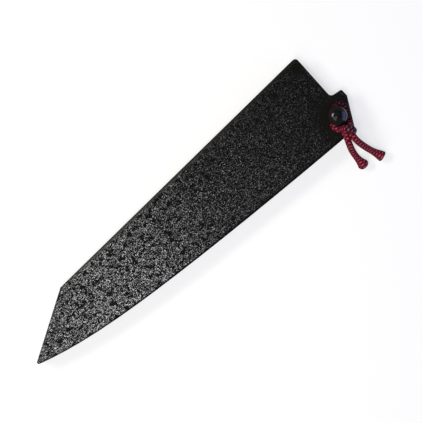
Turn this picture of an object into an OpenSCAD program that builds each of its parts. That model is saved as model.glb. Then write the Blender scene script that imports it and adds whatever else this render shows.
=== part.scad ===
// Wooden sheath for a long kitchen knife with a clipped tip. Millimetres, lying on its back face.
// X runs along the spine from the tip to the mouth, Y from the cutting edge to the spine, Z is up.

/* [Outline] */
// Length from the tip to the outer end of the ear
sheath_len = 264; // [240:1:290]
// Width from the spine to the lowest corner of the ear
sheath_wid = 60; // [54:0.5:70]
// How far the ear stands out past the spine corner
ear_out = 6.7; // [5:0.1:9]
// Length of the tip's slanting end, measured along the spine
bevel_len = 45; // [35:1:60]
// How far the tip lies below the spine
tip_drop = 25; // [20:0.5:30]
// Depth of the step where the ear begins, below the spine
notch_depth = 34; // [30:0.5:37]
// How far the step drops towards the ear's outer end
step_drop = 1.4; // [1:0.1:2]
// Length of the ear's short flat end
ear_flat = 5.3; // [4:0.1:6.5]
// How far the ear's lower corner lies back from its outer end
ear_back = 11.5; // [9:0.5:14]
// Slant of the mouth over the notch depth
mouth_lean = 1.5; // [0.5:0.1:2.5]
// Radius in the corner of the notch
notch_r = 2.8; // [1.5:0.1:4]
// Radius of the corner where the spine meets the mouth
mouth_r = 2.4; // [1:0.1:3.5]
// Radius of the outline's other corners
corner_r = 1.2; // [1:0.1:2]

/* [Halves] */
// Thickness of the whole sheath
sheath_t = 14; // [12:0.5:18]
// Thickness of the slot for the blade
slot_t = 4.4; // [4:0.1:5]
// Solid rim along the spine and the slanting tip
spine_rim = 4.2; // [3.5:0.1:6]
// Solid rim along the cutting edge
edge_rim = 4.4; // [3.5:0.1:6]
// Radius that eases the outer edges
ease_r = 0.8; // [0.4:0.1:0.9]

/* [Pin] */
// Distance of the pin from the outer end of the ear
pin_back = 14.4; // [12:0.1:16]
// Distance of the pin above the lowest corner of the ear
pin_up = 14.1; // [12.5:0.1:15]
// Radius of the pin's shank at the front face
shank_top_r = 2.9; // [2.5:0.1:3.4]
// Radius of the pin's shank at the back face
shank_end_r = 2.5; // [2:0.1:2.8]
// Radius of the groove that holds the cord
neck_r = 2.3; // [1.8:0.1:2.5]
// Radius of the pin's head
head_r = 6.2; // [5.5:0.1:7]
// Height of the straight rim of the head
head_rim = 1.5; // [1:0.1:2.5]
// Height of the dome on the head
head_dome = 3.0; // [2:0.1:4]
// Size of the turned flare under the head and of the bevel round its lower rim
turned_r = 0.5; // [0.2:0.1:0.8]
// Bevel at the shank's end
end_bevel = 0.5; // [0.2:0.1:0.8]
// Gap between the shank and its hole
pin_gap = 0.05; // [0.02:0.01:0.1]
// How far the shank stops short of the back face
pin_short = 0.5; // [0.3:0.1:1.5]

/* [Cord] */
// Thickness of the braided cord
cord_d = 4.4; // [3.6:0.1:4.6]
// Thickness of the flared ends of the cord
flare_d = 7.2; // [5:0.1:7.2]
// Thickness of the cord where the knot squeezes it
knot_d = 3.6; // [3:0.1:4]
// Gap between the cord and the faces above and below it
cord_gap = 0.3; // [0.2:0.05:0.6]

/* [Hidden] */

half_t = sheath_t / 2;
tip_x = ear_out - sheath_len;
low_x = ear_out - ear_back;
pin_x = ear_out - pin_back;
pin_y = pin_up - sheath_wid;
head_z = sheath_t + cord_d + 2 * cord_gap;
centre = [sheath_len / 2 - ear_out, sheath_wid / 2, 0];
bevel_lean = atan2(tip_drop, bevel_len);

// How far a cutting shape runs past the face that it cuts, and past the open mouth
cut = 0.5;
past_mouth = 20;

// Rise of the cutting edge above its lowest corner: nearly straight, then turning up to the tip. Its
// points crowd towards the tip.
edge_rise = sheath_wid - tip_drop;
straight_share = 0.505;
curve_share = 0.24;
tip_share = 1 - straight_share - curve_share;
tip_power = 7;
edge_steps = 16;
crowding = 1.5;
function edge_at(t) =
    edge_rise * (straight_share * t + curve_share * pow(t, 2) + tip_share * pow(t, tip_power));
function edge_points(lift, end_x) =
    [for (i = [edge_steps : -1 : 0]) let (t = 1 - pow(1 - i / edge_steps, crowding))
        [low_x + t * (end_x - low_x), edge_at(t) - sheath_wid + lift]];

// The tip's sharp corner lies ahead of the rounded one by what the rounding takes off
edge_lean = atan2(edge_rise * (straight_share + 2 * curve_share + tip_power * tip_share), low_x - tip_x);
tip_trim = corner_r * (1 / sin((bevel_lean + edge_lean) / 2) - 1);

// Outline of the sheath seen from the front, anticlockwise, as corners and their radii
corners = concat(
    [[0, 0, mouth_r], [tip_x + bevel_len, 0, corner_r]],
    [for (p = edge_points(0, tip_x - tip_trim))
        [p.x, p.y, p.x < tip_x || p.x == low_x ? corner_r : 0]],
    [[ear_out, -notch_depth - step_drop - ear_flat, corner_r],
     [ear_out, -notch_depth - step_drop, corner_r], [-mouth_lean, -notch_depth, notch_r]]
);
arc_step = 25;
function unit(v) = v / norm(v);
function flat(p) = [p.x, p.y];
function corner_arc(a, c, b, r) =
    let (u = unit(a - c), v = unit(b - c), half = acos(u * v) / 2, turn = 180 - 2 * half,
         hub = c + unit(u + v) * r / sin(half), from = c + u * r / tan(half) - hub,
         to = c + v * r / tan(half) - hub, steps = ceil(turn / arc_step))
    [for (k = [0 : steps]) let (t = k / steps)
        hub + (from * sin((1 - t) * turn) + to * sin(t * turn)) / sin(turn)];
outline = let (n = len(corners)) [for (i = [0 : n - 1])
    let (a = flat(corners[(i + n - 1) % n]), c = flat(corners[i]), b = flat(corners[(i + 1) % n]),
         r = corners[i][2])
    for (p = r > 0 ? corner_arc(a, c, b, r) : [c]) p];

// The same outline drawn in by a width
function outward(a, b) = let (d = unit(b - a)) [d.y, -d.x];
function drawn_in(p, width) =
    let (n = len(p)) [for (i = [0 : n - 1])
        let (before = outward(p[(i + n - 1) % n], p[i]), after = outward(p[i], p[(i + 1) % n]))
            p[i] - width * (before + after) / (1 + before * after)];

// Slab between levels, each a height and the width by which the outline is drawn in there. Its two
// faces are fans round a point that sees the whole outline.
fan_point = [-notch_depth / 2, -(notch_depth + sheath_wid) / 2];
module slab(levels) {
    n = len(outline);
    top = len(levels) - 1;
    low_hub = (top + 1) * n;
    polyhedron(
        points = concat(
            [for (level = levels) for (p = drawn_in(outline, level[1])) [p.x, p.y, level[0]]],
            [for (k = [0, top]) [fan_point.x, fan_point.y, levels[k][0]]]
        ),
        faces = [for (i = [0 : n - 1]) let (j = (i + 1) % n) for (face = concat(
            [[i, j, low_hub], [top * n + j, top * n + i, low_hub + 1]],
            [for (k = [0 : top - 1]) [k * n + i, (k + 1) * n + i, (k + 1) * n + j]],
            [for (k = [0 : top - 1]) [k * n + i, (k + 1) * n + j, k * n + j]]
        )) face],
        convexity = 4);
}

// Heights and widths of an eased edge, from its foot to the face
ease_steps = [0, 30, 60, 90];
front_levels = concat([[half_t, 0]],
    [for (a = ease_steps) [sheath_t - ease_r * (1 - sin(a)), ease_r * (1 - cos(a))]]);
back_levels = concat(
    [for (a = ease_steps) [ease_r * (1 - cos(a)), ease_r * (1 - sin(a))]],
    [[half_t, 0]]);

// Slot for the blade: below the spine and the slanting tip, above the cutting edge, open at the mouth
module blade_slot() {
    inner_x = tip_x + bevel_len + spine_rim * tan(bevel_lean / 2);
    slant_end = inner_x + tip_x;
    intersection() {
        translate([0, 0, -slot_t / 2])
            linear_extrude(slot_t)
                polygon([[past_mouth, -spine_rim], [inner_x, -spine_rim],
                         [slant_end, -spine_rim + tip_x * tan(bevel_lean)], [past_mouth, tip_x]]);
        translate([0, 0, -slot_t / 2])
            linear_extrude(slot_t)
                polygon(concat([[past_mouth, 0], [tip_x, 0]], edge_points(edge_rim, tip_x),
                               [[past_mouth, edge_rim - sheath_wid]]));
    }
}

// Tapered hole for the pin, through both halves
module pin_hole() {
    taper = (shank_top_r - shank_end_r) / sheath_t;
    translate([pin_x, pin_y, -cut])
        cylinder(h = sheath_t + 2 * cut, r1 = shank_end_r + pin_gap - cut * taper,
                 r2 = shank_top_r + pin_gap + cut * taper, $fn = 48);
}

module front_shell() {
    color([0.07, 0.07, 0.07])
        translate(centre)
            difference() {
                slab(front_levels);
                translate([0, 0, half_t]) blade_slot();
                pin_hole();
            }
}

module back_shell() {
    color([0.07, 0.07, 0.07])
        translate(centre)
            difference() {
                slab(back_levels);
                translate([0, 0, half_t]) blade_slot();
                pin_hole();
            }
}

// Turned pin: tapered shank, narrow neck for the cord and a domed head
module pin() {
    dome_r = (pow(head_r, 2) + pow(head_dome, 2)) / (2 * head_dome);
    short_r = shank_end_r + pin_short * (shank_top_r - shank_end_r) / sheath_t;
    shank_len = sheath_t - pin_short;
    color([0.03, 0.03, 0.03])
        translate(centre + [pin_x, pin_y, 0]) {
            intersection() {
                translate([0, 0, pin_short])
                    cylinder(h = shank_len, r1 = short_r, r2 = shank_top_r, $fn = 48);
                translate([0, 0, pin_short])
                    cylinder(h = shank_len, r1 = short_r - end_bevel, r2 = short_r - end_bevel + shank_len,
                             $fn = 48);
            }
            translate([0, 0, sheath_t - cut])
                cylinder(h = head_z - sheath_t + 2 * cut, r = neck_r, $fn = 48);
            translate([0, 0, head_z - turned_r])
                cylinder(h = 2 * turned_r, r1 = neck_r, r2 = neck_r + 2 * turned_r, $fn = 48);
            intersection() {
                translate([0, 0, head_z]) cylinder(h = head_rim + head_dome, r = head_r, $fn = 64);
                translate([0, 0, head_z])
                    cylinder(h = head_rim + head_dome, r1 = head_r - turned_r,
                             r2 = head_r - turned_r + head_rim + head_dome, $fn = 64);
                translate([0, 0, head_z + head_rim + head_dome - dome_r]) sphere(r = dome_r, $fn = 64);
            }
        }
}

// Routes of the cord, measured from the pin's axis at the sheath's front face
loop_route = [[1.4, -10.6, 3.3], [2.9, -8.2, 2.6], [4.0, -6.0, 2.5], [5.0, -3.7, 2.5], [7.0, -1.2, 2.5],
              [8.0, 1.9, 2.5], [6.9, 4.8, 2.5], [3.7, 5.7, 2.5], [0.2, 4.8, 2.5], [-2.8, 3.8, 2.5],
              [-4.7, 1.1, 2.5], [-6.0, -2.1, 2.5], [-6.1, -5.1, 2.5], [-4.6, -7.8, 2.6]];
wrap_route = [[-4.6, -7.8, 2.6], [-3.4, -8.2, 4.1], [-1.9, -9.1, 6.3], [-0.9, -10.6, 7.6], [0.2, -12.4, 7.2],
              [0.7, -13.8, 5.5], [0.1, -14.0, 3.4], [-1.5, -13.2, 2.2], [-3.4, -12.2, 2.3]];
left_route = [[-4.2, -11.6, 2.6], [-4.8, -13.6, 2.5], [-6.0, -16.4, 1.9], [-7.1, -19.8, -1.0],
              [-7.8, -23.2, -4.6], [-8.1, -26.8, -7.6], [-8.2, -30.4, -9.5], [-8.2, -34.4, -10.3],
              [-8.2, -37.4, -10.3]];
right_route = [[1.4, -10.6, 3.3], [-0.2, -12.2, 4.7], [-1.5, -14.2, 5.2], [-2.1, -17.0, 3.8],
               [-1.9, -20.1, 1.8], [-1.0, -23.7, -1.0], [0.0, -27.1, -4.0], [1.3, -30.8, -7.2],
               [2.7, -34.5, -9.3], [3.9, -38.0, -10.2], [4.6, -40.4, -10.3]];
cord_sides = 8;
ring_step = 0.5;
flare_rings = 4;

// Smooth curve through the points of a route
function bend(a, b, c, d, t) =
    0.5 * (2 * b + (c - a) * t + (2 * a - 5 * b + 4 * c - d) * pow(t, 2)
        + (3 * b - a - 3 * c + d) * pow(t, 3));
function smooth(p) =
    let (n = len(p) - 1)
    concat([for (i = [0 : n - 1]) for (t = [0 : ring_step : 1 - ring_step])
        bend(p[max(i - 1, 0)], p[i], p[i + 1], p[min(i + 2, n)], t)], [p[n]]);

// Tube along a route, wider over its last rings where the cord is flared. The route never runs along
// the direction that sets the rings upright.
module tube(route, width, end_width, upright = [0, 0, 1]) {
    path = smooth(route);
    n = len(path);
    rings = [for (i = [0 : n - 1])
        let (along = unit(path[min(i + 1, n - 1)] - path[max(i - 1, 0)]),
             side = unit(cross(along, upright)),
             up = cross(side, along),
             swell = max(0, 1 - (n - 1 - i) / flare_rings),
             r = (width + (end_width - width) * swell) / 2)
        for (k = [0 : cord_sides - 1]) let (a = 360 * k / cord_sides)
            path[i] + r * (cos(a) * side + sin(a) * up)];
    caps = [[for (k = [0 : cord_sides - 1]) k],
            [for (k = [cord_sides - 1 : -1 : 0]) (n - 1) * cord_sides + k]];
    walls = [for (i = [0 : n - 2]) for (k = [0 : cord_sides - 1])
        let (j = (k + 1) % cord_sides, a = i * cord_sides, b = a + cord_sides)
        for (face = [[a + k, b + k, b + j], [a + k, b + j, a + j]]) face];
    polyhedron(points = rings, faces = concat(caps, walls), convexity = 6);
}

module cord_place() {
    color([0.4, 0.05, 0.12]) translate(centre + [pin_x, pin_y, sheath_t]) children();
}

module cord_loop() {
    cord_place() tube(loop_route, cord_d, cord_d);
}

// One tight turn of the left strand round the right one, which squeezes both
module cord_knot() {
    cord_place() tube(wrap_route, knot_d, knot_d, [1, 1, 0]);
}

module cord_tail_left() {
    cord_place() tube(left_route, cord_d, flare_d);
}

module cord_tail_right() {
    cord_place() tube(right_route, cord_d, flare_d);
}

front_shell();
back_shell();
pin();
cord_loop();
cord_knot();
cord_tail_left();
cord_tail_right();
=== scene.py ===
import math
import bmesh
import bpy
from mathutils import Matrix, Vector


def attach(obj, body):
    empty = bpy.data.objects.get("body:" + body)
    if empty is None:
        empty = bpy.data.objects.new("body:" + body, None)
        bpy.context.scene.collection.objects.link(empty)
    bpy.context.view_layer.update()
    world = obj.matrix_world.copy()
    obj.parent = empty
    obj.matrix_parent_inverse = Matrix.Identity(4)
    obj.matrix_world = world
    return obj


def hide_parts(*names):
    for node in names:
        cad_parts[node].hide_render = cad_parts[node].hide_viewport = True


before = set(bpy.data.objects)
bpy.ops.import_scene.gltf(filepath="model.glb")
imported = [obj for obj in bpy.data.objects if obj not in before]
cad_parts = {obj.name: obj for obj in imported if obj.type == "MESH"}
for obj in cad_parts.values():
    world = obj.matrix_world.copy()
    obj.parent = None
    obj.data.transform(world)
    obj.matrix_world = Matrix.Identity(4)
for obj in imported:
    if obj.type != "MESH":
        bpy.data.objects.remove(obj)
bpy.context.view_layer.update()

mm = 0.001

# The photograph's view: straight down, with the spine running up to the right
viewSettings = {"lens": 100.0, "sensor": 36.0, "frameWidth": 0.2728, "aimX": 0.0170, "aimY": -0.0032,
                "faceHeight": 0.014, "roll": -44.38}


def makeCamera(s):
    data = bpy.data.cameras.new("viewCamera")
    data.lens = s["lens"]
    data.sensor_width = s["sensor"]
    camera = bpy.data.objects.new("viewCamera", data)
    bpy.context.collection.objects.link(camera)
    height = s["faceHeight"] + s["frameWidth"] * s["lens"] / s["sensor"]
    camera.location = (s["aimX"], s["aimY"], height)
    camera.rotation_euler = (0, 0, math.radians(s["roll"]))
    bpy.context.scene.camera = camera
    bpy.context.scene.view_settings.view_transform = "Standard"
    print("camera", round(height, 4), "m above the floor")


makeCamera(viewSettings)


# Shader maths: an expression on values adds its Math nodes
class Value:
    def __init__(self, tree, socket):
        self.tree = tree
        self.socket = socket

    def maths(self, operation, other=None, swap=False):
        node = self.tree.nodes.new("ShaderNodeMath")
        node.operation = operation
        pair = [self] if other is None else ([other, self] if swap else [self, other])
        for i, item in enumerate(pair):
            if isinstance(item, Value):
                self.tree.links.new(item.socket, node.inputs[i])
            else:
                node.inputs[i].default_value = item
        return Value(self.tree, node.outputs[0])

    def __add__(self, other):
        return self.maths("ADD", other)

    def __radd__(self, other):
        return self.maths("ADD", other, True)

    def __sub__(self, other):
        return self.maths("SUBTRACT", other)

    def __rsub__(self, other):
        return self.maths("SUBTRACT", other, True)

    def __mul__(self, other):
        return self.maths("MULTIPLY", other)

    def __rmul__(self, other):
        return self.maths("MULTIPLY", other, True)

    def __pow__(self, other):
        return self.maths("POWER", other)

    def __gt__(self, other):
        return self.maths("GREATER_THAN", other)

    def __lt__(self, other):
        return self.maths("LESS_THAN", other)

    def __abs__(self):
        return self.maths("ABSOLUTE")


# A material on one Principled shader
class Finish:
    def __init__(self, name):
        self.material = bpy.data.materials.new(name)
        self.material.use_nodes = True
        self.tree = self.material.node_tree
        self.shader = self.tree.nodes["Principled BSDF"]
        self.output = self.tree.nodes["Material Output"]

    # Any node: its type, its settings first, then the values or links of its sockets
    def node(self, kind, settings=None, **sockets):
        node = self.tree.nodes.new("ShaderNode" + kind)
        for key, value in (settings or {}).items():
            if key == "stops":
                ramp = node.color_ramp
                while len(ramp.elements) < len(value):
                    ramp.elements.new(0.5)
                for element, (place, colour) in zip(ramp.elements, value):
                    element.position = place
                    element.color = (*colour, 1)
            else:
                setattr(node, key, value)
        for key, value in sockets.items():
            socket = node.inputs[key.replace("_", " ")]
            if isinstance(value, Value):
                self.tree.links.new(value.socket, socket)
            else:
                socket.default_value = value
        return node

    def out(self, node, name=0):
        return Value(self.tree, node.outputs[name])

    def place(self):
        return self.out(self.node("TexCoord"), "Object")

    # A place's own numbers, in millimetres
    def millimetres(self, place, axes):
        split = self.node("SeparateXYZ", Vector=place)
        return [self.out(split, axis) * (1 / mm) for axis in axes]

    # The settings give a noise its scale, detail, roughness and distortion
    def noise(self, where, scale, detail, roughness=0.5, distortion=0.0):
        return self.out(self.node("TexNoise", Vector=where, Scale=scale, Detail=detail, Roughness=roughness,
                                  Distortion=distortion), "Fac")

    # Runs smoothly from 0 to 1 between two levels of a value
    def rise(self, value, start, end):
        return self.out(self.node("MapRange", {"interpolation_type": "SMOOTHSTEP"}, Value=value,
                                  From_Min=start, From_Max=end))

    def ramp(self, value, stops):
        return self.out(self.node("ValToRGB", {"stops": stops}, Fac=value))

    # A colour Mix has its share in socket 0, its colours in 6 and 7, and its blend in output 2
    def blendColours(self, share, first, second, kind="MIX"):
        node = self.node("Mix", {"data_type": "RGBA", "blend_type": kind})
        for i, item in ((0, share), (6, first), (7, second)):
            if isinstance(item, Value):
                self.tree.links.new(item.socket, node.inputs[i])
            else:
                node.inputs[i].default_value = item if i == 0 else (*item, 1)
        return self.out(node, 2)

    def feed(self, value, socket):
        self.tree.links.new(value.socket, self.shader.inputs[socket])

    def relief(self, height, depth):
        self.feed(self.out(self.node("Bump", Height=height, Strength=1.0, Distance=depth)), "Normal")

    def fixed(self, socket, value):
        self.shader.inputs[socket].default_value = value


def distance(x, y, at):
    return ((x - at[0]) ** 2.0 + (y - at[1]) ** 2.0).maths("SQRT")


# Places in millimetres. Shares are those of a strand's crown, its fibres and the fuzz.
# The deep and crown colours paint shade in the braid's hollows and a highlight on its crowns. The flank
# share paints shade down the cord's sides. The colour multiplied in round the painted place paints the pin
# head's shadow on the loop.
cordFinishSettings = {"deep": (0.080, 0.002, 0.008), "ground": (0.225, 0.018, 0.032),
                      "crown": (0.380, 0.080, 0.110), "endFall": 1.2, "fibres": 7.0, "fuzz": (2600.0, 3.0),
                      "tintShares": (0.9, 0.08, 0.3), "tintRun": (0.20, 1.0), "tintStops": (0.25, 0.5, 1.0),
                      "reliefShares": (0.6, 0.5, 0.5), "reliefDepth": 0.00006, "paintedFlankShade": 0.9,
                      "paintedFlankRun": (0.0, 0.95), "roughness": 0.6, "specular": 0.05, "gloss": 0.4,
                      "glossRough": 0.35, "patch": (0.17, 0.38, 0.35), "paintedPlace": (121.3, -14.1),
                      "paintedReach": (9.5, 12.5)}
# The knot's darker colours are painted shade from the pin's head. Round its painted place, a redder colour
# is painted light where the wrap leaves that shade.
knotFinishSettings = {**cordFinishSettings, "deep": (0.020, 0.003, 0.008), "ground": (0.075, 0.016, 0.030),
                      "crown": (0.180, 0.085, 0.105), "gloss": 0.8, "patch": (2.4, 0.6, 0.9),
                      "paintedPlace": (112.6, -23.9), "paintedReach": (1.0, 4.5)}


# The braid map gives each stitch a whole number in both directions of the strands
def cordFinish(name, s, strands):
    f = Finish(name)
    split = f.node("SeparateXYZ", Vector=f.out(f.node("UVMap", {"uv_map": "braid"}), "UV"))
    right, left = f.out(split, "X"), f.out(split, "Y")
    rightShare, leftShare = right.maths("FRACT"), left.maths("FRACT")
    # The upper strand runs to the left where the two whole numbers add up to an odd one
    odd = ((right.maths("FLOOR") + left.maths("FLOOR")) * 0.5).maths("FRACT") > 0.25
    across = odd * leftShare + (1 - odd) * rightShare
    along = odd * rightShare + (1 - odd) * leftShare
    crown = (1 - abs(across - 0.5) * 2) * (1 - abs(along - 0.5) * s["endFall"])
    fibres = (across * (math.tau * s["fibres"])).maths("SINE") * 0.5 + 0.5
    place = f.place()
    fuzz = f.noise(place, *s["fuzz"])

    def weighed(shares):
        return crown * shares[0] + fibres * shares[1] + fuzz * shares[2]

    # The ramp from deep to crown colour is painted shade in the hollows and a painted highlight on the
    # crowns. The fibres and fuzz add random tone.
    tint = f.rise(weighed(s["tintShares"]), *s["tintRun"])
    dyeWithPaintedLight = f.ramp(tint, list(zip(s["tintStops"], (s["deep"], s["ground"], s["crown"]))))
    # The flanks are darker, as painted shade, and round one place the colour is multiplied: a painted
    # shadow of the pin's head on the loop, painted light on the knot
    top = ((right - left) * (math.pi / strands)).maths("COSINE")
    dyeWithPaintedLight = f.blendColours((1 - f.rise(top, *s["paintedFlankRun"])) * s["paintedFlankShade"], dyeWithPaintedLight, s["deep"])
    x, y = f.millimetres(place, "XY")
    patch = 1 - f.rise(distance(x, y, s["paintedPlace"]), *s["paintedReach"])
    f.feed(f.blendColours(patch, dyeWithPaintedLight, f.blendColours(1.0, dyeWithPaintedLight, s["patch"], "MULTIPLY")), "Base Color")
    f.relief(weighed(s["reliefShares"]), s["reliefDepth"])
    f.feed(crown * crown * (1 - patch) * s["gloss"], "Coat Weight")
    f.fixed("Coat Roughness", s["glossRough"])
    f.fixed("Roughness", s["roughness"])
    f.fixed("Specular IOR Level", s["specular"])
    return f.material


# The cord. Its sizes and routes are in millimetres, and the routes are measured from the pin's axis at
# the sheath's front face.
pinPlace = Vector((0.1176, -0.0159, 0.014))
cordSettings = {"diameter": 4.4, "sides": 42, "steps": 20, "pathStep": 5, "strands": 3, "pitch": 2.4,
                "mapShift": 72, "relief": 0.075, "strandSag": 0.5, "strandFoot": 0.6, "fibreRelief": 0.02,
                "fibreRidges": 26, "looseEnd": 1.5, "looseRun": 5.0}
knotSettings = {**cordSettings, "pitch": 1.6}
crimsonBraid = cordFinish("crimsonBraid", cordFinishSettings, cordSettings["strands"])
knotPaintedShadeBraid = cordFinish("knotPaintedShadeBraid", knotFinishSettings, cordSettings["strands"])
loopRoute = [(1.4, -10.6, 3.3), (2.9, -8.2, 2.6), (4.0, -6.0, 2.5), (5.0, -3.7, 2.5), (7.0, -1.2, 2.5),
             (8.0, 1.9, 2.5), (6.9, 4.8, 2.5), (3.7, 5.7, 2.5), (0.2, 4.6, 2.5), (-2.5, 3.3, 2.5),
             (-4.1, 0.8, 2.5), (-5.6, -2.2, 2.5), (-6.1, -5.1, 2.5), (-4.6, -7.8, 2.6)]
wrapRoute = [(-4.6, -7.8, 2.6), (-3.4, -8.2, 4.1), (-1.9, -9.1, 6.3), (-0.9, -10.6, 7.6), (0.2, -12.4, 7.2),
             (0.7, -13.8, 5.5), (0.1, -14.0, 3.4), (-1.5, -13.2, 2.2), (-3.4, -12.2, 2.3)]
leftRoute = [(-3.2, -9.2, 3.2), (-4.2, -11.6, 2.6), (-4.8, -13.6, 2.5), (-6.0, -16.4, 1.9),
             (-7.1, -19.8, -1.0), (-7.8, -23.2, -4.6), (-8.1, -26.8, -7.6), (-8.2, -30.4, -9.5),
             (-8.2, -34.4, -10.3), (-8.2, -37.4, -10.3)]
rightRoute = [(0.9, -10.8, 4.1), (-0.3, -12.4, 4.7), (-1.3, -14.5, 4.7), (-1.85, -17.1, 3.7),
              (-1.75, -20.2, 1.7), (-1.0, -23.7, -1.0), (0.0, -27.1, -4.0), (1.3, -30.8, -7.1),
              (2.7, -34.5, -9.3), (3.9, -38.0, -10.2), (4.6, -40.4, -10.3)]

# Radius at distances along the loop, which is squeezed under the pin's head, and along the knot
loopRadii = [(0.0, 2.1), (12.0, 2.2), (17.0, 2.0), (21.0, 1.8), (31.0, 1.8), (34.0, 2.1), (42.0, 2.1)]
knotRadii = [(0.0, 1.9), (4.0, 2.3), (9.0, 2.4), (12.0, 2.1), (16.0, 1.9)]
# Radius of a tail at distances back from its end: one end is fused round, the other is cut flat
roundEnd = [(0.0, 0.4), (0.15, 1.3), (0.5, 2.2), (1.1, 3.0), (2.0, 3.55), (3.2, 3.65), (4.4, 3.25),
            (5.8, 2.75), (7.6, 2.4), (10.0, 2.2)]
flatEnd = [(0.0, 2.6), (0.25, 3.15), (0.8, 3.5), (2.0, 3.4), (3.6, 3.05), (5.6, 2.6), (7.8, 2.35),
           (10.0, 2.2)]


# A smooth curve through the route's points
def smoothPath(route, steps):
    points = [pinPlace + Vector(p) * mm for p in route]
    last = len(points) - 1
    path = []
    for i in range(last):
        a, b = points[max(i - 1, 0)], points[i]
        c, d = points[i + 1], points[min(i + 2, last)]
        for k in range(steps):
            t = k / steps
            path.append(0.5 * (2 * b + (c - a) * t + (2 * a - 5 * b + 4 * c - d) * t ** 2
                               + (3 * b - a - 3 * c + d) * t ** 3))
    path.append(points[last])
    return path


def runsOf(path):
    runs = [0.0]
    for a, b in zip(path, path[1:]):
        runs.append(runs[-1] + (b - a).length)
    return runs


# Value at a place in a list of pairs, straight between them
def between(pairs, at):
    for (a, low), (b, high) in zip(pairs, pairs[1:]):
        if at <= b:
            return low + (high - low) * max(0.0, at - a) / (b - a)
    return pairs[-1][1]


# Directions across a path, carried along it without a twist
def framesOf(path):
    last = len(path) - 1
    side = Vector((0, 0, 1))
    frames = []
    for i in range(last + 1):
        along = (path[min(i + 1, last)] - path[max(i - 1, 0)]).normalized()
        side = (side - along * side.dot(along)).normalized()
        frames.append((side, along.cross(side)))
    return frames


# How far the surface stands out, as a share of the radius: round strands that cross over and under each
# other, which loosen into straight fibres where the tail flares
def strandSwell(right, left, share, free, s):
    odd = (math.floor(right) + math.floor(left)) % 2
    across, along = (left % 1, right % 1) if odd else (right % 1, left % 1)
    braid = (1 - (2 * across - 1) ** 2) * (1 - s["strandSag"] * (2 * along - 1) ** 2)
    straight = 0.5 + 0.5 * math.cos(math.tau * s["fibreRidges"] * share)
    return s["relief"] * (braid - s["strandFoot"]) * (1 - free) + s["fibreRelief"] * straight * free


def addFace(form, layer, corners, places):
    face = form.faces.new(corners)
    face.smooth = True
    for loop, place in zip(face.loops, places):
        loop[layer].uv = place


# A tube of rings along the path, closed at both ends. The map's shift keeps its numbers above zero, and
# is a multiple of twice the strands, which leaves the pattern in its place.
def braidedTube(name, path, radii, s, finish, loose=None):
    mesh = bpy.data.meshes.new(name)
    form = bmesh.new()
    layer = form.loops.layers.uv.new("braid")
    sides = s["sides"]
    rings, maps = [], []
    for i, (p, run, (side, up)) in enumerate(zip(path, runsOf(path), framesOf(path))):
        free = loose[i] if loose else 0.0
        ring, row = [], []
        for k in range(sides + 1):
            share = k / sides
            right = run / (s["pitch"] * mm) + s["strands"] * share
            left = run / (s["pitch"] * mm) - s["strands"] * share
            row.append((right, left + s["mapShift"]))
            if k < sides:
                radius = radii[i] * mm * (1 + strandSwell(right, left, share, free, s))
                a = math.tau * share
                ring.append(form.verts.new(p + radius * (math.cos(a) * side + math.sin(a) * up)))
        rings.append(ring)
        maps.append(row)
    for i in range(len(path) - 1):
        for k in range(sides):
            j = (k + 1) % sides
            addFace(form, layer, (rings[i][k], rings[i][j], rings[i + 1][j], rings[i + 1][k]),
                    (maps[i][k], maps[i][k + 1], maps[i + 1][k + 1], maps[i + 1][k]))
    for end in (0, -1):
        hub = form.verts.new(path[end])
        ring, row = rings[end], maps[end]
        for k in range(sides):
            middle = (row[k][0] + 0.5, row[k][1] + 0.5)
            addFace(form, layer, (ring[k], ring[(k + 1) % sides], hub), (row[k], row[k + 1], middle))
    bmesh.ops.recalc_face_normals(form, faces=form.faces)
    form.to_mesh(mesh)
    form.free()
    piece = bpy.data.objects.new(name, mesh)
    bpy.context.collection.objects.link(piece)
    mesh.materials.append(finish)
    return piece


def layOnTether(piece, node):
    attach(piece, "tether")
    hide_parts(node)


def plainCord(name, node, route, radii, s, finish):
    path = smoothPath(route, s["steps"])
    piece = braidedTube(name, path, [between(radii, run / mm) for run in runsOf(path)], s, finish)
    layOnTether(piece, node)
    return piece


def makeTail(name, node, route, end, s):
    path = smoothPath(route, s["steps"])
    runs = runsOf(path)
    backs = [(runs[-1] - run) / mm for run in runs]
    radii = [between(end, back) for back in backs]
    loose = [min(1.0, max(0.0, 1.0 - (back - s["looseEnd"]) / s["looseRun"])) for back in backs]
    tail = braidedTube(name, path, radii, s, crimsonBraid, loose)
    layOnTether(tail, node)
    print(name, "length", round(runs[-1], 4))


cordLoop = plainCord("cordLoop", "cord_loop", loopRoute, loopRadii, cordSettings, crimsonBraid)
cordKnot = plainCord("cordKnot", "cord_knot", wrapRoute, knotRadii, knotSettings, knotPaintedShadeBraid)
makeTail("leftTail", "cord_tail_left", leftRoute, roundEnd, cordSettings)
makeTail("rightTail", "cord_tail_right", rightRoute, flatEnd, cordSettings)
print("cord made")

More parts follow.
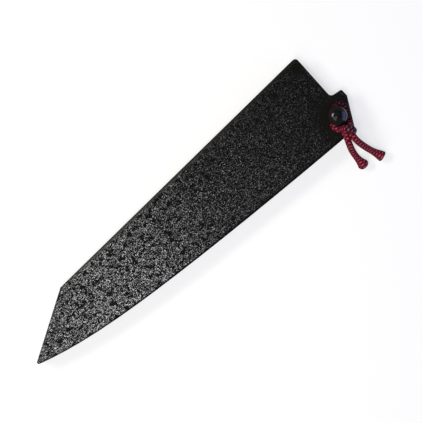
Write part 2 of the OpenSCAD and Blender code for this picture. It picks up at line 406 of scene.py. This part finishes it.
# Lacquer with a raised stone grain. Places are in millimetres, and a calm place has its middle and the
# distances over which the grain comes back.
lacquerSettings = {"grain": (1600.0, 1.0), "worms": (950.0, 0.5, 0.5, 0.6), "wormWidth": 0.14,
                   "wormShare": 0.22, "mouthShadeRun": (-60.0, 45.0), "grainLess": 0.05, "dots": (0.48, 0.51),
                   "plateau": 0.31, "specks": (0.60, 0.70), "speckle": 1.0, "blots": (280.0, 3.0, 0.7),
                   "blotLevel": 0.44, "blotEdge": 0.008, "blotRun": (10.0, 75.0), "blotLess": 0.07,
                   "sheenRough": 0.37, "sheenIndex": 2.05, "groundNoise": (25.0, 2.0),
                   "ground": ((0.0024, 0.0016, 0.0024), (0.0024, 0.0022, 0.0012)),
                   "groundStops": (0.4, 0.6), "crown": (0.004, 0.004, 0.004), "roughness": 0.5,
                   "specular": 0.04, "depth": 0.0003, "calmSheen": 0.045,
                   "calmPlaces": ((117.6, -15.9, 7.0, 22.0), (120.5, 24.5, 1.0, 9.0))}
# The front face's borders, and the height above which a surface counts as that face. The rim's olive tint
# is a painted highlight on the eased spine edge.
borderSettings = {"sideTop": (11.0, 12.8), "spine": 30.0, "line": (0.1, 0.9), "foot": (0.7, 1.7),
                  "rim": (0.9, 2.6), "rimRun": (-95.0, -50.0), "rimSheen": 0.11,
                  "rimPaintedHighlight": (0.009, 0.009, 0.003)}
# The cutting edge's height along the sheath: nearly straight, then turning up to the tip
edgeSettings = {"start": 125.3, "run": 262.6, "foot": -30.0, "rise": 35.0, "shares": (0.505, 0.24, 0.255),
                "tipPower": 7.0}
# The slot: its two levels, its limits at the spine and at the mouth, the rim that it keeps along the
# cutting edge, the line of its slanting tip, and the wood in it
slotSettings = {"low": 4.79, "high": 9.21, "top": 26.0, "end": 123.5, "edgeRim": 4.2, "slantRise": 0.5556,
                "slantTop": 76.0, "wood": (0.50, 0.36, 0.20), "woodDark": (0.38, 0.25, 0.12),
                "figure": (900.0, 3.0), "figureStretch": (0.06, 1.0, 1.0), "figureStops": (0.35, 0.65)}


# Raised grains with winding ridges, and the black blots between them. Towards the mouth the grains are
# lower, which is painted shade in their sheen and colour, and the blots are rarer.
def stoneGrain(f, place, x, s):
    grain = f.noise(place, *s["grain"])
    worms = 1 - f.rise(abs(f.noise(place, *s["worms"]) - 0.5), 0.0, s["wormWidth"])
    mouthShade = f.rise(x, *s["mouthShadeRun"])
    texture = grain * (1 - s["wormShare"]) + worms * s["wormShare"] - mouthShade * s["grainLess"]
    blots = f.noise(place, *s["blots"]) + f.rise(x, *s["blotRun"]) * s["blotLess"]
    raised = f.rise(blots, s["blotLevel"] - s["blotEdge"], s["blotLevel"] + s["blotEdge"])
    return texture, raised


def edgeHeight(x, s):
    straight, curve, tip = s["shares"]
    t = (s["start"] - x) * (1 / s["run"])
    return (t * straight + t * t * curve + t ** s["tipPower"] * tip) * s["rise"] + s["foot"]


# 1 in the slot and 0 outside it
def slotMask(x, y, z, edge, s):
    level = (z > s["low"]) * (z < s["high"])
    ends = (x < s["end"]) * (y < s["top"]) * (y - x * s["slantRise"] < s["slantTop"])
    return level * ends * (y > edge + s["edgeRim"])


def bareWood(f, place, s):
    stretched = f.out(f.node("Mapping", Vector=place, Scale=s["figureStretch"]))
    figure = f.noise(stretched, *s["figure"])
    return f.ramp(figure, list(zip(s["figureStops"], (s["woodDark"], s["wood"]))))


def lacquerFinish(name, s, border):
    f = Finish(name)
    place = f.place()
    x, y, z = f.millimetres(place, "XYZ")
    texture, raised = stoneGrain(f, place, x, s)
    gloss = f.rise(texture, *s["dots"]) * s["plateau"] + f.rise(texture, *s["specks"]) * s["speckle"]
    gloss = gloss * raised
    # Rubbed smooth round the pin and in the mouth's corner
    for atX, atY, near, far in s["calmPlaces"]:
        keep = f.rise(distance(x, y, (atX, atY)), near, far)
        gloss = gloss * keep + (1 - keep) * s["calmSheen"]
        raised = raised * keep
    # The front face has a smooth rim along the spine, with an olive tint that is a painted highlight, and a
    # dark line along both long edges
    edge = edgeHeight(x, edgeSettings)
    below = border["spine"] - y
    face = f.rise(z, *border["sideTop"])
    rim = (1 - f.rise(below, *border["rim"])) * f.rise(x, *border["rimRun"]) * face
    lined = (1 - f.rise(y - edge, *border["foot"]) * f.rise(below, *border["line"])) * face
    gloss = (gloss * (1 - rim) + rim * border["rimSheen"]) * (1 - lined)
    ground = f.ramp(f.noise(place, *s["groundNoise"]), list(zip(s["groundStops"], s["ground"])))
    # The raised grains take the lighter crown colour, a painted highlight, over a ground of random tone
    shade = f.blendColours(texture * raised, ground, s["crown"])
    # The rim's olive tint is a painted highlight on the eased spine edge
    shade = f.blendColours(rim, shade, border["rimPaintedHighlight"])
    # The slot is left as bare wood
    slot = slotMask(x, y, z, edge, slotSettings)
    f.feed(f.blendColours(slot, shade, bareWood(f, place, slotSettings)), "Base Color")
    f.relief(texture * raised, s["depth"])
    f.fixed("Roughness", s["roughness"])
    f.feed(gloss * (1 - slot), "Coat Weight")
    f.fixed("Coat Roughness", s["sheenRough"])
    f.fixed("Coat IOR", s["sheenIndex"])
    f.fixed("Specular IOR Level", s["specular"])
    return f.material


# The pin's polish, with distances in millimetres from its axis. The side is the direction in which the
# head still shines.
# The limb's tint is a painted reflection of the red cord.
polishSettings = {"dark": (0.005, 0.005, 0.005), "light": (0.012, 0.011, 0.011), "haze": (500.0, 3.0),
                  "hazeStops": (0.3, 0.7), "hazeDepth": 0.00002, "roughness": (0.09, 0.07),
                  "axis": (117.6, -15.9), "side": (0.715, -0.699), "sideRun": (1.0, 4.5),
                  "limb": (4.2, 5.6), "limbPaintedReflection": (0.013, 0.0075, 0.0075), "patch": 0.85,
                  "middle": (1.8, 3.2), "dull": 0.93, "coat": 0.42, "shine": 0.56, "coatRough": 0.16,
                  "coatIndex": 1.6, "specular": 0.02}


def polishFinish(name, s):
    f = Finish(name)
    place = f.place()
    haze = f.noise(place, *s["haze"])
    x, y = (value - at for value, at in zip(f.millimetres(place, "XY"), s["axis"]))
    away = (x * x + y * y).maths("SQRT")
    # The head is worn dull round its limb, apart from one side, and in its middle
    bright = f.rise(x * s["side"][0] + y * s["side"][1], *s["sideRun"])
    limb = f.rise(away, *s["limb"]) * (1 - bright)
    patch = limb * s["patch"] + (1 - f.rise(away, *s["middle"])) * s["dull"]
    shade = f.ramp(haze, list(zip(s["hazeStops"], (s["dark"], s["light"]))))
    # The limb's reddish tint is a painted reflection of the cord
    f.feed(f.blendColours(limb, shade, s["limbPaintedReflection"]), "Base Color")
    f.feed(s["roughness"][0] + haze * s["roughness"][1], "Roughness")
    f.relief(haze, s["hazeDepth"])
    f.feed((1 - patch) * (bright * s["shine"] + s["coat"]), "Coat Weight")
    f.fixed("Coat Roughness", s["coatRough"])
    f.fixed("Coat IOR", s["coatIndex"])
    f.fixed("Specular IOR Level", s["specular"])
    return f.material


stoneLacquer = lacquerFinish("stoneLacquer", lacquerSettings, borderSettings)
polishedLacquer = polishFinish("polishedLacquer", polishSettings)
for node in ("front_shell", "back_shell"):
    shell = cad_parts[node]
    shell.data.materials.clear()
    shell.data.materials.append(stoneLacquer)
print("both halves lacquered")

# The turned pin, in millimetres above the surface that the sheath lies on. A pair is the radius and the
# height of a turned line, and the rim has its radius and the heights of its foot and top.
pinSettings = {"sides": 96, "foot": 0.5, "endBevel": 0.5, "end": (2.51, 1.0), "shoulder": (2.9, 14.0),
               "neck": 2.3, "underHead": 18.5, "flare": (2.8, 19.0), "rim": (6.2, 19.5, 20.5),
               "rimBevel": 0.5, "rimEase": (0.12, 0.15), "dome": 7.907, "domeSteps": 14, "top": 23.5,
               "smoothUnder": 35}


def deselectAll():
    for o in bpy.context.selected_objects:
        o.select_set(False)


def turnedLines(s):
    wide, rimFoot, rimTop = s["rim"]
    lean, ease = s["rimEase"]
    lines = [(s["end"][0] - s["endBevel"], s["foot"]), s["end"], s["shoulder"],
             (s["neck"], s["shoulder"][1]), (s["neck"], s["underHead"]), s["flare"],
             (wide - s["rimBevel"], s["flare"][1]), (wide - lean, rimFoot - lean),
             (wide, rimFoot + ease), (wide, rimTop - ease)]
    start = math.asin(wide / s["dome"])
    for i in range(s["domeSteps"]):
        a = start * (1 - (i + 0.5) / s["domeSteps"])
        lines.append((s["dome"] * math.sin(a), s["top"] - s["dome"] * (1 - math.cos(a))))
    return lines


# Starts as a disc at the foot and is extruded and scaled from line to line
def makePin(s):
    lines = turnedLines(s)
    deselectAll()
    bpy.ops.mesh.primitive_circle_add(vertices=s["sides"], radius=lines[0][0] * mm, fill_type="NGON",
                                      location=(pinPlace.x, pinPlace.y, lines[0][1] * mm))
    pin = bpy.context.object
    pin.name = "turnedPin"
    bpy.ops.object.mode_set(mode="EDIT")
    bpy.ops.mesh.select_mode(type="FACE")
    bpy.ops.mesh.select_all(action="SELECT")
    for (r0, z0), (r1, z1) in zip(lines, lines[1:]):
        bpy.ops.mesh.extrude_region_move(TRANSFORM_OT_translate={"value": (0, 0, (z1 - z0) * mm)})
        bpy.ops.transform.resize(value=(r1 / r0, r1 / r0, 1),
                                 center_override=(pinPlace.x, pinPlace.y, z1 * mm))
    lastRise = (s["top"] - lines[-1][1]) * mm
    bpy.ops.mesh.extrude_region_move(TRANSFORM_OT_translate={"value": (0, 0, lastRise)})
    bpy.ops.mesh.merge(type="CENTER")
    bpy.ops.mesh.select_all(action="SELECT")
    bpy.ops.mesh.normals_make_consistent(inside=False)
    bpy.ops.object.mode_set(mode="OBJECT")
    bpy.ops.object.transform_apply(location=True, rotation=True, scale=True)
    bpy.ops.object.shade_smooth_by_angle(angle=math.radians(s["smoothUnder"]))
    pin.data.materials.append(polishedLacquer)
    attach(pin, "pin")
    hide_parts("pin")


makePin(pinSettings)
print("pin turned and polished")

floorSettings = {"size": 6.0, "colour": (0.995, 0.980, 0.930), "roughness": 0.9, "seen": 0.65, "glow": 1.02}


# The camera sees part of the floor's white as it is, so the shadow on it stays pale
def makeFloor(s):
    deselectAll()
    bpy.ops.mesh.primitive_plane_add(size=s["size"], location=(0, 0, 0))
    floor = bpy.context.object
    floor.name = "floor"
    f = Finish("paleFloor")
    f.fixed("Base Color", (*s["colour"], 1))
    f.fixed("Roughness", s["roughness"])
    f.fixed("Specular IOR Level", 0.0)
    rays = f.node("LightPath")
    seen = f.out(rays, "Is Camera Ray").maths("MAXIMUM", f.out(rays, "Is Glossy Ray")) * s["seen"]
    glow = f.node("Emission", Color=(1, 1, 1, 1), Strength=s["glow"])
    mix = f.node("MixShader", Fac=seen)
    f.tree.links.new(f.shader.outputs[0], mix.inputs[1])
    f.tree.links.new(glow.outputs[0], mix.inputs[2])
    f.tree.links.new(mix.outputs[0], f.output.inputs["Surface"])
    floor.data.materials.append(f.material)


makeFloor(floorSettings)

# Each lamp: its place, the point that it faces, its size both ways, its power and its colour
lampSettings = {
    "topLamp": ((-0.16, -0.04, 0.80), (0, 0, 0), (0.20, 0.20), 3.0, (0.98, 0.975, 0.985)),
    "keyLamp": ((-0.32, 0.61, 0.72), (0, 0, 0), (0.50, 0.20), 6.0, (1.0, 0.98, 0.96)),
    "stripLamp": ((-0.49, -0.05, 0.72), (-0.49, -0.05, 0), (0.14, 0.65), 1.5, (1.0, 0.99, 0.96)),
    "coolLamp": ((0.62, -0.52, 0.40), (0, 0, 0), (1.1, 0.55), 3.0, (0.30, 0.40, 1.0))}


def makeLamp(name, place, faced, size, power, colour):
    data = bpy.data.lights.new(name, "AREA")
    data.shape = "RECTANGLE"
    data.size, data.size_y = size
    data.energy = power
    data.color = colour
    lamp = bpy.data.objects.new(name, data)
    bpy.context.collection.objects.link(lamp)
    lamp.location = place
    lamp.rotation_euler = (Vector(faced) - Vector(place)).to_track_quat("-Z", "Y").to_euler()


for name, settings in lampSettings.items():
    makeLamp(name, *settings)

studioSettings = {"strength": 0.30, "fall": 1.5}


# The studio is bright round the horizon and dark overhead, as over a glossy black piece
def makeStudio(s):
    world = bpy.data.worlds.new("studio")
    bpy.context.scene.world = world
    world.use_nodes = True
    tree = world.node_tree
    split = tree.nodes.new("ShaderNodeSeparateXYZ")
    tree.links.new(tree.nodes.new("ShaderNodeTexCoord").outputs["Generated"], split.inputs[0])
    height = Value(tree, split.outputs["Z"]).maths("MAXIMUM", 0.0)
    sky = tree.nodes["Background"]
    sky.inputs["Color"].default_value = (1, 1, 1, 1)
    tree.links.new(((1 - height) ** s["fall"] * s["strength"]).socket, sky.inputs["Strength"])


makeStudio(studioSettings)
print("floor, lamps and studio made")
